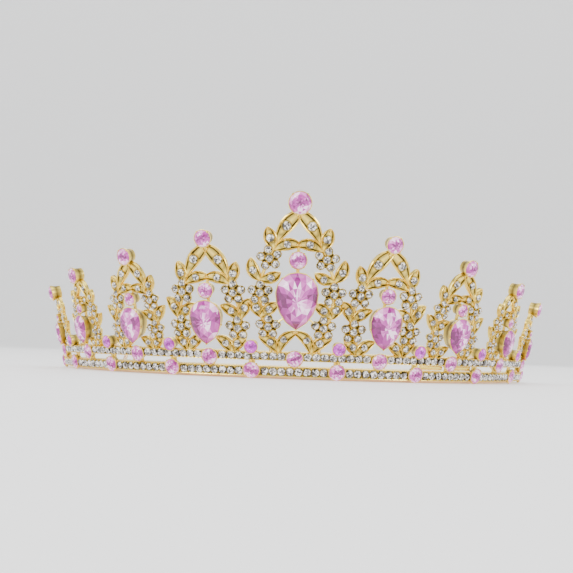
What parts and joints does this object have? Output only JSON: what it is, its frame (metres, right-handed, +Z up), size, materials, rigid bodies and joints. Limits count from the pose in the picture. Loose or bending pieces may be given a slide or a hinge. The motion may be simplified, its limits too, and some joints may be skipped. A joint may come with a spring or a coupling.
{
  "type": "party crown",
  "caption": "Gilt party tiara with two rhinestone bands, leaf and flower medallions, pink and violet stones, and a plain head wire that ends in eyes.",
  "frame": {"origin": "bottom centre of the box round the whole crown, on the surface that the crown stands on", "axes": "+Z up, front of the crown towards -Y, +X to the right as the crown is seen from the front"},
  "size_m": [0.1534, 0.1446, 0.0493],
  "materials": {
    "gilt_metal": "bright yellow gilding with dark recesses",
    "wire_metal": "pale rose gilding, polished",
    "pink_stone": "faceted, foiled at the back",
    "violet_stone": "faceted, foiled at the back",
    "clear_stone": "faceted, foiled at the back"
  },
  "bodies": {
    "root": {"crown_frame": "gilt_metal", "head_wire": "wire_metal", "pear_stone_centre": "pink_stone", "pear_stone_left_1": "pink_stone", "pear_stone_left_2": "pink_stone", "pear_stone_left_3": "pink_stone", "pear_stone_left_4": "pink_stone", "pear_stone_right_1": "pink_stone", "pear_stone_right_2": "pink_stone", "pear_stone_right_3": "pink_stone", "pear_stone_right_4": "pink_stone", "small_stone_centre": "pink_stone", "small_stone_left_1": "pink_stone", "small_stone_left_2": "pink_stone", "small_stone_left_3": "pink_stone", "small_stone_left_4": "pink_stone", "small_stone_right_1": "pink_stone", "small_stone_right_2": "pink_stone", "small_stone_right_3": "pink_stone", "small_stone_right_4": "pink_stone", "top_stone_centre": "pink_stone", "top_stone_left_1": "pink_stone", "top_stone_left_2": "pink_stone", "top_stone_left_3": "pink_stone", "top_stone_left_4": "pink_stone", "top_stone_right_1": "pink_stone", "top_stone_right_2": "pink_stone", "top_stone_right_3": "pink_stone", "top_stone_right_4": "pink_stone", "violet_stone_left_1": "violet_stone", "violet_stone_left_2": "violet_stone", "violet_stone_left_3": "violet_stone", "violet_stone_left_4": "violet_stone", "violet_stone_right_1": "violet_stone", "violet_stone_right_2": "violet_stone", "violet_stone_right_3": "violet_stone", "violet_stone_right_4": "violet_stone"}
  },
  "joints": []
}
